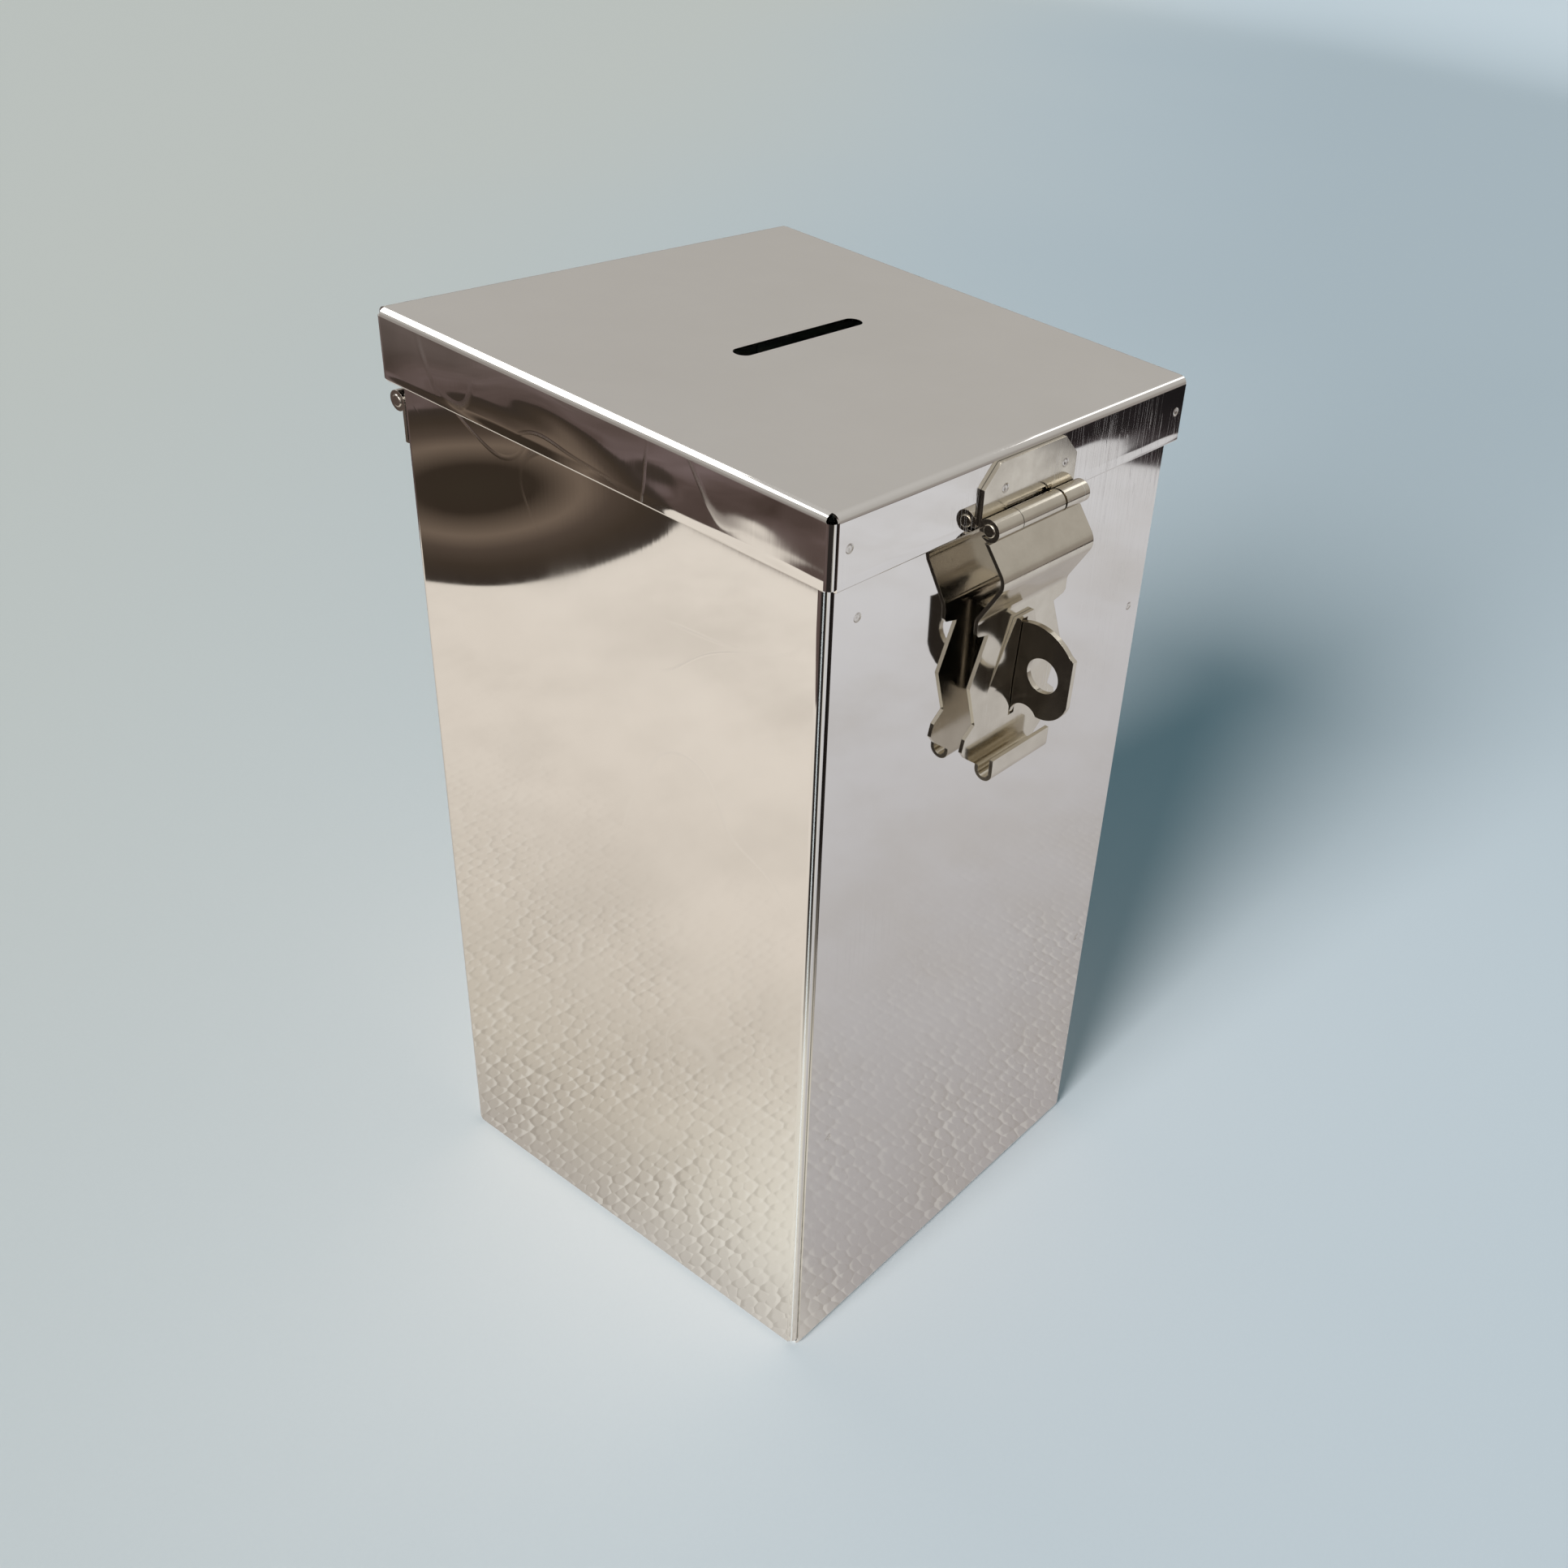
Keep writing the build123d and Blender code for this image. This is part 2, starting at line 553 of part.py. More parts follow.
os.makedirs("parts", exist_ok=True)
write(body_wrap(), "body_wrap")
write(side_panel(-1), "left_side_panel")
write(side_panel(1), "right_side_panel")
write(lid_tray(), "lid_tray")
write(hinge_leaf(True), "rear_hinge_body_leaf")
write(hinge_leaf(False), "rear_hinge_lid_leaf")
write(rear_hinge_pin(), "rear_hinge_pin")
write(hasp_plate(), "hasp_plate")
write(hasp_pin(), "hasp_pin")
write(hasp_leaf(), "hasp_leaf")
write(staple_eye(), "staple_eye")
write(welds_along_y(FRONT_WELDS, BODY_FRONT_Y, 1, 2 * BODY_SHEET), "body_front_welds")
write(welds_along_y(BACK_WELDS, BODY_BACK_Y, -1, 2 * BODY_SHEET), "body_back_welds")
write([Pos(x, y, 0) * nugget(2 * BODY_SHEET) for x, y in BASE_WELDS], "base_welds")
write(
    welds_along_y(LID_WELDS, LID_FRONT_Y, 1, 2 * LID_SHEET)
    + welds_along_y(LID_WELDS, LID_BACK_Y, -1, 2 * LID_SHEET),
    "lid_corner_welds",
)
write(
    welds_along_y(hinge_weld_spots(-1), BODY_BACK_Y + HINGE_SHEET, -1, HINGE_SHEET + BODY_SHEET),
    "hinge_body_welds",
)
write(
    welds_along_y(hinge_weld_spots(1), LID_BACK_Y + HINGE_SHEET, -1, HINGE_SHEET + LID_SHEET),
    "hinge_lid_welds",
)
write(
    welds_along_y(plate_weld_spots(), LID_FRONT_Y - HASP_SHEET, 1, HASP_SHEET + LID_SHEET),
    "hasp_plate_welds",
)
write(
    welds_along_y(FOOT_WELDS, BODY_FRONT_Y - HASP_SHEET, 1, HASP_SHEET + BODY_SHEET), "staple_welds"
)
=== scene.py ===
import json
import math

import bpy
from mathutils import Matrix, Vector

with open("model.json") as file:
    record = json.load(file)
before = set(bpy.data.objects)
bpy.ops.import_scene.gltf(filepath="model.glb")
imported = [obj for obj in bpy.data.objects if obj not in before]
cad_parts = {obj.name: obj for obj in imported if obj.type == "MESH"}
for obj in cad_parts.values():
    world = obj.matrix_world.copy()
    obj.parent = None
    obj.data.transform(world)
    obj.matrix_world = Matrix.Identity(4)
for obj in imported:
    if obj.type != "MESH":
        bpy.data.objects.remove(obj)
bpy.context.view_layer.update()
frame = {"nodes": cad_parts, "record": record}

# Donation box of bright annealed stainless sheet on a pale studio floor. Metres, +Z up, hasp towards -Y.

# --- camera and studio values -------------------------------------------------------------------

CAMERA_PLACE = (-0.2768, -0.2544, 0.3865)
CAMERA_AZIMUTH = -62.70
CAMERA_ELEVATION = 32.98
CAMERA_ROLL = 10.44
CAMERA_LENS = 37.43
CAMERA_SHIFT = (-0.2414, -0.0074)

FLOOR_RADIUS = 2.2
WALL_RADIUS = 1.0
WALL_HEIGHT = 2.0

# the floor that the mirror-like walls reflect: half its width, and its height just below the box
REFLECTED_HALF = 1.3
REFLECTED_Z = -0.0006
# it is pale between these limits and dark beyond them
PALE_LEFT = -0.389
PALE_RIGHT = 0.535
PALE_FRONT = -0.95
PALE_BACK = 0.44
BACK_SPOT = (-0.335, 0.417, 0.105)  # centre x, centre y and radius of a dark spot with rings
RIGHT_SPOT = (0.66, -0.41, 0.15)  # the same for a plain dark spot
CORNER = (-0.062, -0.0643)  # the box's near corner; the floor diagonally out from it is dark
BUBBLE = 0.0037  # spacing of the bubbles in the film that covers the pale floor

# where the soft main light stands, in degrees from the front towards the left and above the floor
SUN_TURN = 83.0
SUN_HEIGHT = 28.0
SUN_SOFTNESS = 27.0
SUN_STRENGTH = 4.3

# the body's inner faces lie inside these half widths and below this height
INSIDE_PANELS = (0.0616, 0.0632)
INSIDE_WRAP = (0.0598, 0.0638)
INSIDE_TOP = 0.2485

# relief of the lid's skirts: gentle ripples, and the step of the folded lower edge
LID_RIPPLE = 0.0005
LID_FOLD = 0.00005
LID_FOLD_HEIGHTS = (0.2334, 0.2362)


# --- small helpers ------------------------------------------------------------------------------


def colour(code):
    """Linear RGBA from a screen colour such as 'DCD4CB'."""
    channels = [int(code[i : i + 2], 16) / 255 for i in (0, 2, 4)]
    linear = [c / 12.92 if c <= 0.04045 else ((c + 0.055) / 1.055) ** 2.4 for c in channels]
    return (*linear, 1.0)


class Nodes:
    """Builds a node tree with one short call per node."""

    def __init__(self, tree):
        self.tree = tree
        self.tree.nodes.clear()

    def add(self, kind, inputs=None, **settings):
        node = self.tree.nodes.new(kind)
        for key, value in settings.items():
            setattr(node, key, value)
        for key, value in (inputs or {}).items():
            self.feed(node.inputs[key], value)
        return node

    def feed(self, socket, value):
        if isinstance(value, bpy.types.NodeSocket):
            self.tree.links.new(value, socket)
        else:
            socket.default_value = value

    def math(self, operation, a, b=0.0):
        return self.add("ShaderNodeMath", {0: a, 1: b}, operation=operation).outputs[0]

    def place(self):
        """Position in the row frame, in metres."""
        return self.add("ShaderNodeTexCoord").outputs["Object"]

    def split(self, vector):
        return self.add("ShaderNodeSeparateXYZ", {0: vector}).outputs

    def scale(self, vector, factors, turn=(0, 0, 0)):
        node = self.add("ShaderNodeMapping", {"Vector": vector, "Rotation": turn, "Scale": factors})
        return node.outputs[0]

    def noise(self, vector, scale, detail=3.0, roughness=0.5, distortion=0.0):
        inputs = {
            "Vector": vector,
            "Scale": scale,
            "Detail": detail,
            "Roughness": roughness,
            "Distortion": distortion,
        }
        return self.add("ShaderNodeTexNoise", inputs).outputs["Fac"]

    def within(self, value, limit):
        """One where the size of value is below limit, else zero."""
        return self.math("LESS_THAN", self.math("ABSOLUTE", value), limit)

    def remap(self, value, low, high, to_low=0.0, to_high=1.0, smooth=True):
        inputs = {"Value": value, 1: low, 2: high, 3: to_low, 4: to_high}
        kind = "SMOOTHSTEP" if smooth else "LINEAR"
        return self.add("ShaderNodeMapRange", inputs, interpolation_type=kind).outputs[0]

    def ramp(self, value, stops):
        node = self.add("ShaderNodeValToRGB", {0: value})
        elements = node.color_ramp.elements
        while len(elements) < len(stops):
            elements.new(0.5)
        for element, (position, shade) in zip(elements, stops):
            element.position = position
            element.color = shade
        return node.outputs[0]

    def mix(self, factor, a, b, blend="MIX"):
        node = self.add("ShaderNodeMix", data_type="RGBA", blend_type=blend)
        self.feed(node.inputs[0], factor)
        self.feed(node.inputs[6], a)
        self.feed(node.inputs[7], b)
        return node.outputs[2]

    def bump(self, height, distance, strength=1.0, normal=None):
        inputs = {"Height": height, "Distance": distance, "Strength": strength}
        if normal is not None:
            inputs["Normal"] = normal
        return self.add("ShaderNodeBump", inputs).outputs[0]

    def painted_crevice_shade(self, tone, reach):
        """Painted shade: darkens tone inside narrow gaps and seams."""
        open_sky = self.add("ShaderNodeAmbientOcclusion", {"Distance": reach}, samples=16).outputs["AO"]
        return self.mix(self.remap(open_sky, 0.25, 0.85, 0.9, 0.0), tone, colour("1E1A17"))

    def finish(self, shader, kind="ShaderNodeOutputMaterial"):
        self.add(kind, {"Surface": shader})


def new_material(name):
    material = bpy.data.materials.new(name)
    material.use_nodes = True
    return material, Nodes(material.node_tree)


def link(obj):
    bpy.context.scene.collection.objects.link(obj)
    return obj


# --- metals -------------------------------------------------------------------------------------


def hairlines(n, place, density, turns, keep):
    """Sparse thin scratches: long narrow noise streaks in a few directions, broken up by a mask."""
    total = None
    for number, turn in enumerate(turns):
        along = n.scale(place, (density, density * 0.02, density * 0.02), turn)
        streak = n.remap(n.noise(along, 1.0, 1.0, 0.4, 0.25), 0.5, 0.5 + keep)
        line = n.math("MULTIPLY", streak, n.math("SUBTRACT", 1.0, streak))
        mask = n.remap(n.noise(place, 14.0 + 5.0 * number, 2.0), 0.55, 0.68)
        line = n.math("MULTIPLY", n.math("MULTIPLY", line, 4.0), mask)
        total = line if total is None else n.math("MAXIMUM", total, line)
    return total


def sheet_steel(name, is_lid):
    """Bright annealed sheet: a soft mirror with gentle waves, rolling lines and hairline scratches."""
    material, n = new_material(name)
    place = n.place()
    scratches = hairlines(n, place, 700.0, [(0.3, 0.5, 0.7), (1.2, 0.2, 2.1), (0.6, 2.0, 1.3)], 0.012)
    facing_up = n.split(n.add("ShaderNodeNewGeometry").outputs["True Normal"])[2]
    scratches = n.math("MULTIPLY", scratches, n.remap(facing_up, 0.2, 0.7, 1.0, 0.15))
    smudge = n.noise(place, 22.0, 5.0, 0.6)
    rolling = n.noise(n.scale(place, (900.0, 900.0, 14.0)), 1.0, 2.0)
    tone = n.mix(smudge, colour("E4E1DD"), colour("F0EEEB"))
    tone = n.mix(n.math("MULTIPLY", scratches, 0.12), tone, colour("FFFFFF"))
    # painted shade inside narrow gaps and seams
    tone = n.painted_crevice_shade(tone, 0.0006)
    roughness = n.remap(smudge, 0.35, 0.7, 0.02, 0.055)
    roughness = n.math("ADD", roughness, n.math("MULTIPLY", scratches, 0.2))
    roughness = n.math("ADD", roughness, n.math("MULTIPLY", rolling, 0.015))
    waves = n.bump(n.noise(place, 9.0, 1.0, 0.4), 0.0007)
    if is_lid:
        on_skirt = n.remap(facing_up, 0.2, 0.7, 1.0, 0.0)
        ripple = n.noise(n.scale(place, (1, 1, 2.5)), 26.0, 1.0, 0.4)
        waves = n.bump(n.math("MULTIPLY", ripple, on_skirt), LID_RIPPLE, normal=waves)
        fold = n.remap(n.split(place)[2], *LID_FOLD_HEIGHTS)
        waves = n.bump(n.math("MULTIPLY", fold, on_skirt), LID_FOLD, normal=waves)
    fine = n.bump(n.math("ADD", scratches, n.math("MULTIPLY", rolling, 0.1)), 0.000012, normal=waves)
    satin = inside_of_box(n, place)
    metallic = n.math("SUBTRACT", 1.0, n.math("MULTIPLY", satin, 0.55))
    roughness = n.math("ADD", roughness, n.math("MULTIPLY", satin, 0.25))
    inputs = {"Base Color": tone, "Metallic": metallic, "Roughness": roughness, "Normal": fine}
    n.finish(n.add("ShaderNodeBsdfPrincipled", inputs).outputs[0])
    return material


def inside_of_box(n, place):
    """One on the inner faces of the body, which keep the mill's duller finish, and zero outside."""
    axes = n.split(place)
    boxes = [
        n.math("MULTIPLY", n.within(axes[0], half_x), n.within(axes[1], half_y))
        for half_x, half_y in (INSIDE_PANELS, INSIDE_WRAP)
    ]
    below_rim = n.math("LESS_THAN", axes[2], INSIDE_TOP)
    return n.math("MULTIPLY", n.math("MAXIMUM", *boxes), below_rim)


def pressed_steel(name, light, dark, grain, base_roughness):
    """Plated pressed steel: lighter and darker in random patches, with short polishing lines and faint pits.
    """
    material, n = new_material(name)
    place = n.place()
    polish = n.noise(n.scale(place, (grain, grain, grain * 0.06)), 1.0, 3.0, 0.6)
    blotch = n.noise(place, 120.0, 4.0, 0.6)
    scratches = hairlines(n, place, 1500.0, [(0.5, 0.2, 0.4), (1.1, 0.9, 1.9)], 0.02)
    specks = n.add("ShaderNodeTexVoronoi", {"Vector": place, "Scale": 700.0}).outputs["Distance"]
    pits = n.remap(specks, 0.0, 0.14, 1.0, 0.0)
    pits = n.math("MULTIPLY", pits, n.remap(blotch, 0.56, 0.66))
    tone = n.mix(blotch, light, dark)
    tone = n.mix(n.math("MULTIPLY", pits, 0.2), tone, colour("8A8176"))
    tone = n.mix(n.math("MULTIPLY", scratches, 0.5), tone, colour("FFFFFF"))
    # painted shade inside narrow gaps and seams, which here also stands for grime in the crevices
    tone = n.painted_crevice_shade(tone, 0.0004)
    roughness = n.remap(blotch, 0.3, 0.7, base_roughness * 0.7, base_roughness * 1.4)
    roughness = n.math("ADD", roughness, n.math("MULTIPLY", polish, 0.06))
    roughness = n.math("ADD", roughness, n.math("MULTIPLY", scratches, 0.2))
    worn = n.add("ShaderNodeBevel", {"Radius": 0.00012}, samples=4).outputs[0]
    relief = n.math("ADD", n.math("MULTIPLY", polish, 0.4), n.math("MULTIPLY", pits, -0.3))
    height = n.bump(relief, 0.000004, normal=worn)
    inputs = {"Base Color": tone, "Metallic": 1.0, "Roughness": roughness, "Normal": height}
    n.finish(n.add("ShaderNodeBsdfPrincipled", inputs).outputs[0])
    return material


def weld_steel():
    """Spot-weld nuggets: heat-dulled, grainy and slightly straw-coloured."""
    material, n = new_material("weld_mark")
    place = n.place()
    grain = n.noise(place, 1600.0, 4.0, 0.7)
    heat = n.noise(place, 260.0, 2.0)
    tone = n.mix(heat, colour("D6D2CC"), colour("EAE7E2"))
    tone = n.mix(n.remap(grain, 0.55, 0.75), tone, colour("B4ADA3"))
    roughness = n.remap(grain, 0.3, 0.7, 0.12, 0.28)
    relief = n.bump(grain, 0.00003)
    inputs = {"Base Color": tone, "Metallic": 1.0, "Roughness": roughness, "Normal": relief}
    n.finish(n.add("ShaderNodeBsdfPrincipled", inputs).outputs[0])
    return material


def dress_nodes():
    """Gives every CAD node the material of its slot."""
    finishes = {
        "stainless_sheet": sheet_steel("stainless_sheet", is_lid=False),
        "hinge_steel": pressed_steel("hinge_steel", colour("DAD5CE"), colour("BEB7AD"), 900.0, 0.16),
        "hasp_steel": pressed_steel("hasp_steel", colour("E8E2D5"), colour("C8C1B3"), 700.0, 0.10),
        "weld_mark": weld_steel(),
    }
    for entry in frame["record"]["subparts"]:
        node = frame["nodes"][entry["node"]]
        node.data.materials.clear()
        node.data.materials.append(finishes[entry["material_slot"]])
    lid = frame["nodes"]["lid_tray"]
    lid.data.materials[0] = sheet_steel("stainless_lid_sheet", is_lid=True)


# --- studio -------------------------------------------------------------------------------------


def studio_bowl():
    """Floor that curves up into a wall on every side, so no view sees a horizon line."""
    rings, segments = 24, 96
    profile = [(FLOOR_RADIUS * i / rings, 0.0) for i in range(rings + 1)]
    for i in range(1, rings + 1):
        angle = math.pi / 2 * i / rings
        profile.append(
            (FLOOR_RADIUS + WALL_RADIUS * math.sin(angle), WALL_RADIUS * (1 - math.cos(angle)))
        )
    profile.append((FLOOR_RADIUS + WALL_RADIUS, WALL_HEIGHT))
    points = []
    for radius, height in profile[1:]:
        for step in range(segments):
            turn = 2 * math.pi * step / segments
            points.append((radius * math.cos(turn), radius * math.sin(turn), height))
    faces = []
    for ring in range(len(profile) - 2):
        for step in range(segments):
            after = (step + 1) % segments
            low, high = ring * segments, (ring + 1) * segments
            faces.append((low + step, high + step, high + after, low + after))
    centre = len(points)
    points.append((0.0, 0.0, 0.0))
    faces += [(centre, step, (step + 1) % segments) for step in range(segments)]
    mesh = bpy.data.meshes.new("studio_floor")
    mesh.from_pydata(points, [], faces)
    mesh.shade_smooth()
    floor = link(bpy.data.objects.new("studio_floor", mesh))
    material, n = new_material("studio_floor")
    place = n.place()
    axes = n.split(place)
    across = n.math("SUBTRACT", n.math("MULTIPLY", axes[0], 0.47), n.math("MULTIPLY", axes[1], 0.88))
    along = n.math("ADD", n.math("MULTIPLY", axes[0], 0.88), n.math("MULTIPLY", axes[1], 0.47))
    cool = n.remap(n.math("ADD", across, n.math("MULTIPLY", n.noise(place, 1.4, 2.0), 0.2)), -0.5, 0.35)
    tone = n.mix(cool, colour("DAD2C8"), colour("DADBDD"))
    # painted shade: the floor turns darker further out to the right, where the light falls off
    far_shade = n.math("MULTIPLY", cool, n.remap(along, 0.05, 0.9))
    tone = n.mix(far_shade, tone, colour("C0C4C7"))
    tone = n.mix(n.math("MULTIPLY", n.noise(place, 900.0, 2.0), 0.05), tone, colour("FFFFFF"))
    shader = n.add("ShaderNodeBsdfDiffuse", {"Color": tone, "Roughness": 0.0})
    glow = n.add("ShaderNodeEmission", {"Color": colour("AEB9BE"), "Strength": 1.0})
    wall = n.remap(axes[2], 0.0, 0.25)
    blend = n.add("ShaderNodeMixShader", {0: wall, 1: shader.outputs[0], 2: glow.outputs[0]})
    n.finish(blend.outputs[0])
    mesh.materials.append(material)
    floor.visible_diffuse = False
    floor.visible_glossy = False
    floor.visible_shadow = False


def spot_shade(n, axes, spot, shades, softness):
    """Colour inside a round dark spot, from its centre to its rim, and how far inside it a point is."""
    dx = n.math("SUBTRACT", axes[0], spot[0])
    dy = n.math("SUBTRACT", axes[1], spot[1])
    squared = n.math("ADD", n.math("MULTIPLY", dx, dx), n.math("MULTIPLY", dy, dy))
    reach = n.math("DIVIDE", n.math("SQRT", squared), spot[2])
    return n.ramp(reach, shades), n.remap(reach, 1 - softness, 1 + softness, 1.0, 0.0)


def bubble_film(n, place, axes):
    """Small round bubbles, lit on one side and dark on the other, and how clearly they show near the box."""
    flat = n.scale(place, (1, 1, 0))
    drift = n.add("ShaderNodeTexNoise", {"Vector": flat, "Scale": 90.0, "Detail": 2.0}).outputs["Color"]
    flat = n.add("ShaderNodeMix", {0: 0.0022, 4: flat, 5: drift}, data_type="VECTOR").outputs[1]
    inputs = {"Vector": flat, "Scale": 1 / BUBBLE, "Randomness": 0.55}
    bubble = n.add("ShaderNodeTexVoronoi", inputs)
    centre = bubble.outputs["Position"]
    offset = n.add("ShaderNodeVectorMath", {0: flat, 1: centre}, operation="SUBTRACT").outputs[0]
    lit_side = (-0.75, -0.66, 0.0)
    lean = n.add("ShaderNodeVectorMath", {0: offset, 1: lit_side}, operation="DOT_PRODUCT")
    lean = n.math("DIVIDE", lean.outputs["Value"], BUBBLE)
    rim = n.remap(bubble.outputs["Distance"], 0.22, 0.5)
    east = n.remap(axes[0], -0.24, -0.07)
    south = n.remap(axes[1], -0.20, -0.07)
    patchy = n.remap(n.noise(place, 30.0, 3.0), 0.3, 0.7, 0.25, 1.0)
    side = n.remap(axes[0], -0.08, -0.03, 1.0, 0.55)
    near = n.math("MULTIPLY", n.math("MULTIPLY", east, south), n.math("MULTIPLY", patchy, side))
    return n.math("MULTIPLY", lean, rim), near


def pale_floor(n, place, axes):
    """The pale stretch of floor: warm to the left of the box, cool in front, with a film of bubbles."""
    left = n.remap(axes[0], -0.36, -0.07, smooth=False)
    warm = n.ramp(left, [(0.0, colour("F0E8DE")), (0.6, colour("E9E0D5")), (1.0, colour("CBC3B5"))])
    forward = n.math("MULTIPLY", n.remap(left, 0.35, 0.85), n.remap(axes[1], -0.07, 0.05, 1.0, 0.0))
    warm = n.mix(forward, warm, colour("F2EFE4"))
    front = n.remap(axes[1], -0.36, -0.07, smooth=False)
    cool = n.ramp(front, [(0.0, colour("DBDBDE")), (0.55, colour("CBCACD")), (1.0, colour("B2AEAE"))])
    pale = n.mix(n.remap(axes[0], -0.10, -0.03), warm, cool)
    bubbles, near = bubble_film(n, place, axes)
    lit = n.math("MULTIPLY", n.remap(bubbles, 0.06, 0.5, 0.0, 0.5), near)
    shaded = n.math("MULTIPLY", n.remap(bubbles, -0.06, -0.5, 0.0, 0.45), near)
    pale = n.mix(lit, pale, colour("FFFDF6"))
    pale = n.mix(shaded, pale, colour("8B8378"))
    patches = n.remap(n.noise(place, 14.0, 4.0, 0.6), 0.38, 0.7, 0.0, 0.22)
    return n.mix(patches, pale, colour("AFA79C"))


def beyond_corner(n, axes):
    """One on the floor that lies diagonally out from the near corner, which only the corner bends see."""
    west = n.math("SUBTRACT", CORNER[0], axes[0])
    south = n.math("SUBTRACT", CORNER[1], axes[1])
    least = n.math("MINIMUM", west, south)
    most = n.math("MAXIMUM", n.math("MAXIMUM", west, south), 0.001)
    wedge = n.remap(n.math("DIVIDE", least, most), 0.02, 0.25)
    return n.math("MULTIPLY", wedge, n.remap(most, 0.08, 0.17))


def reflected_floor():
    """A glowing sheet that only the metal sees, a painted reflection: pale near the box and dark further
    out.
    """
    half = REFLECTED_HALF
    mesh = bpy.data.meshes.new("reflected_floor")
    corners = [(x * half, y * half, REFLECTED_Z) for x, y in ((-1, -1), (1, -1), (1, 1), (-1, 1))]
    mesh.from_pydata(corners, [], [(0, 1, 2, 3)])
    sheet = link(bpy.data.objects.new("reflected_floor", mesh))
    material, n = new_material("reflected_floor")
    place = n.place()
    axes = n.split(place)
    cloud = n.noise(place, 9.0, 4.0, 0.6, 0.6)
    dark = n.ramp(cloud, [(0.3, colour("41352F")), (0.5, colour("5E504C")), (0.72, colour("7E6F6F"))])
    squared = n.math("ADD", n.math("MULTIPLY", axes[0], axes[0]), n.math("MULTIPLY", axes[1], axes[1]))
    outer = n.remap(n.math("SQRT", squared), 0.6, 1.25)
    dark = n.mix(outer, dark, colour("9C9691"))
    tone = pale_floor(n, place, axes)
    outside = [
        n.remap(axes[0], PALE_LEFT - 0.004, PALE_LEFT + 0.004, 1.0, 0.0),
        n.remap(axes[0], PALE_RIGHT - 0.006, PALE_RIGHT + 0.006),
        n.remap(axes[1], PALE_FRONT - 0.02, PALE_FRONT + 0.02, 1.0, 0.0),
        n.remap(axes[1], PALE_BACK - 0.006, PALE_BACK + 0.006),
    ]
    for edge in outside:
        tone = n.mix(edge, tone, dark)
    rings = [
        (0.0, colour("3A3229")),
        (0.26, colour("382F27")),
        (0.50, colour("76675A")),
        (0.64, colour("54483F")),
        (0.80, colour("42382F")),
        (0.96, colour("3B332D")),
    ]
    plain = [(0.0, colour("1C1A1B")), (0.8, colour("262223")), (0.95, colour("3A3335"))]
    for spot, shades, softness in (
        (BACK_SPOT, rings, 0.012),
        (RIGHT_SPOT, plain, 0.03),
    ):
        shade, inside = spot_shade(n, axes, spot, shades, softness)
        tone = n.mix(inside, tone, shade)
    tone = n.mix(beyond_corner(n, axes), tone, colour("2D2927"))
    n.finish(n.add("ShaderNodeEmission", {"Color": tone, "Strength": 1.0}).outputs[0])
    mesh.materials.append(material)
    sheet.visible_camera = False
    sheet.visible_diffuse = False
    sheet.visible_shadow = False
    sheet.visible_transmission = False


def studio_world():
    """Soft grey room: what the lid's top and the tops of the bends reflect."""
    world = bpy.data.worlds.new("studio")
    bpy.context.scene.world = world
    world.use_nodes = True
    n = Nodes(world.node_tree)
    direction = n.add("ShaderNodeTexCoord").outputs["Generated"]
    height = n.split(direction)[2]
    stops = [
        (0.0, colour("4A4340")),
        (0.5, colour("A09A95")),
        (0.60, colour("B6B3AE")),
        (0.72, colour("BDBAB6")),
        (1.0, colour("D0CECB")),
    ]
    tone = n.ramp(n.remap(height, -1.0, 1.0, smooth=False), stops)
    diffuse_ray = n.add("ShaderNodeLightPath").outputs["Is Diffuse Ray"]
    tone = n.mix(diffuse_ray, tone, colour("597781"))
    shader = n.add("ShaderNodeBackground", {"Color": tone, "Strength": 1.0})
    n.finish(shader.outputs[0], "ShaderNodeOutputWorld")


def main_light():
    """One soft, even light from the front left, which gives the floor its shade."""
    data = bpy.data.lights.new("main_light", "SUN")
    data.energy = SUN_STRENGTH
    data.angle = math.radians(SUN_SOFTNESS)
    data.color = colour("F7FCFF")[:3]
    turn, height = math.radians(SUN_TURN), math.radians(SUN_HEIGHT)
    place = Vector(
        (-math.sin(turn) * math.cos(height), -math.cos(turn) * math.cos(height), math.sin(height))
    )
    light = link(bpy.data.objects.new("main_light", data))
    light.rotation_mode = "QUATERNION"
    light.rotation_quaternion = place.to_track_quat("Z", "Y")
    light.visible_glossy = False


def window(name, place, aim, width, height, power, tint):
    """A bright rectangle that only the metal reflects; it points at aim."""
    data = bpy.data.lights.new(name, "AREA")
    data.shape = "RECTANGLE"
    data.size = width
    data.size_y = height
    data.energy = power
    data.color = colour(tint)[:3]
    light = link(bpy.data.objects.new(name, data))
    light.location = place
    light.rotation_mode = "QUATERNION"
    light.rotation_quaternion = (Vector(aim) - Vector(place)).to_track_quat("-Z", "Y")
    light.visible_diffuse = False


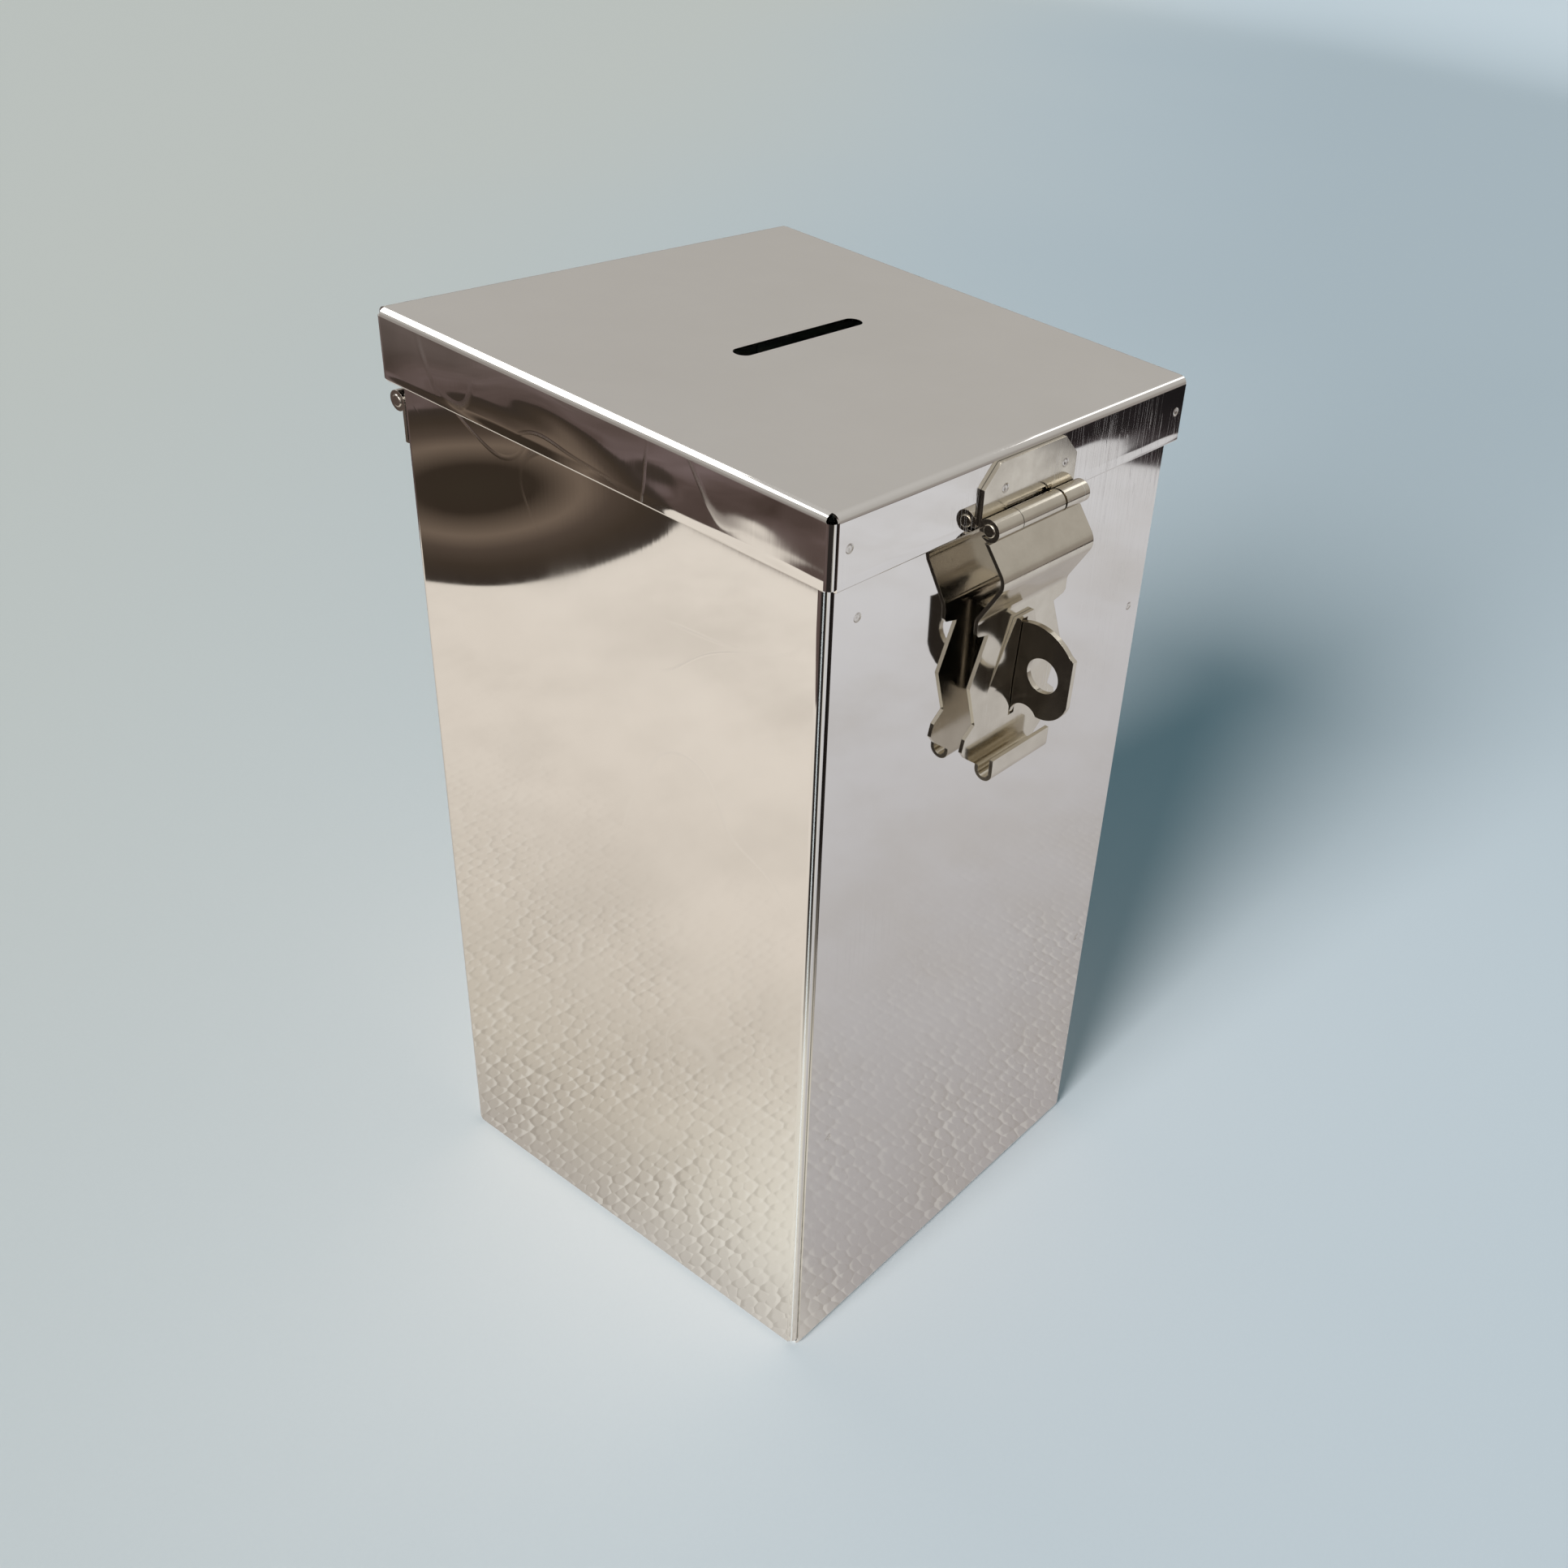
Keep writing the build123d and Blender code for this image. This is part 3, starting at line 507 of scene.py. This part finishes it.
def camera():
    """The home camera, with its lens shift, which only applies while the camera is at its home place."""
    azimuth = math.radians(CAMERA_AZIMUTH)
    elevation = math.radians(CAMERA_ELEVATION)
    roll = math.radians(CAMERA_ROLL)
    back = Vector(
        (
            math.sin(azimuth) * math.cos(elevation),
            -math.cos(azimuth) * math.cos(elevation),
            math.sin(elevation),
        )
    )
    right = Vector((0, 0, 1)).cross(back).normalized()
    up = back.cross(right)
    rolled_right = right * math.cos(roll) + up * math.sin(roll)
    rolled_up = up * math.cos(roll) - right * math.sin(roll)
    data = bpy.data.cameras.new("camera")
    data.lens = CAMERA_LENS
    data.clip_start = 0.01
    data.clip_end = 50.0
    obj = link(bpy.data.objects.new("camera", data))
    obj.rotation_mode = "QUATERNION"
    obj.rotation_quaternion = Matrix((rolled_right, rolled_up, back)).transposed().to_quaternion()
    obj.location = CAMERA_PLACE
    home = link(bpy.data.objects.new("camera_home", None))
    home.location = CAMERA_PLACE
    for path, shift in zip(("shift_x", "shift_y"), CAMERA_SHIFT):
        curve = data.driver_add(path)
        curve.driver.type = "AVERAGE"
        variable = curve.driver.variables.new()
        variable.type = "LOC_DIFF"
        variable.targets[0].id = obj
        variable.targets[1].id = home
        while curve.modifiers:
            curve.modifiers.remove(curve.modifiers[0])
        while curve.keyframe_points:
            curve.keyframe_points.remove(curve.keyframe_points[0])
        # the full shift at the home place, and none from 3 cm away
        for distance, value in ((0.0, shift), (0.03, 0.0)):
            curve.keyframe_points.insert(distance, value).interpolation = "LINEAR"
    bpy.context.scene.camera = obj


dress_nodes()
studio_bowl()
reflected_floor()
studio_world()
main_light()
window("back_window", (-0.25, 1.3, 1.3), (0, 0, 0.2), 1.7, 0.8, 14.0, "FFFEFA")
window("right_window", (1.5, -0.1, 1.25), (0, 0, 0.2), 0.5, 0.4, 0.8, "FFFFFF")
window("left_window", (-1.5, -0.15, 1.0), (0, 0, 0.2), 0.9, 0.8, 9.0, "FFFCF6")
camera()
bpy.context.scene.view_settings.view_transform = "Standard"
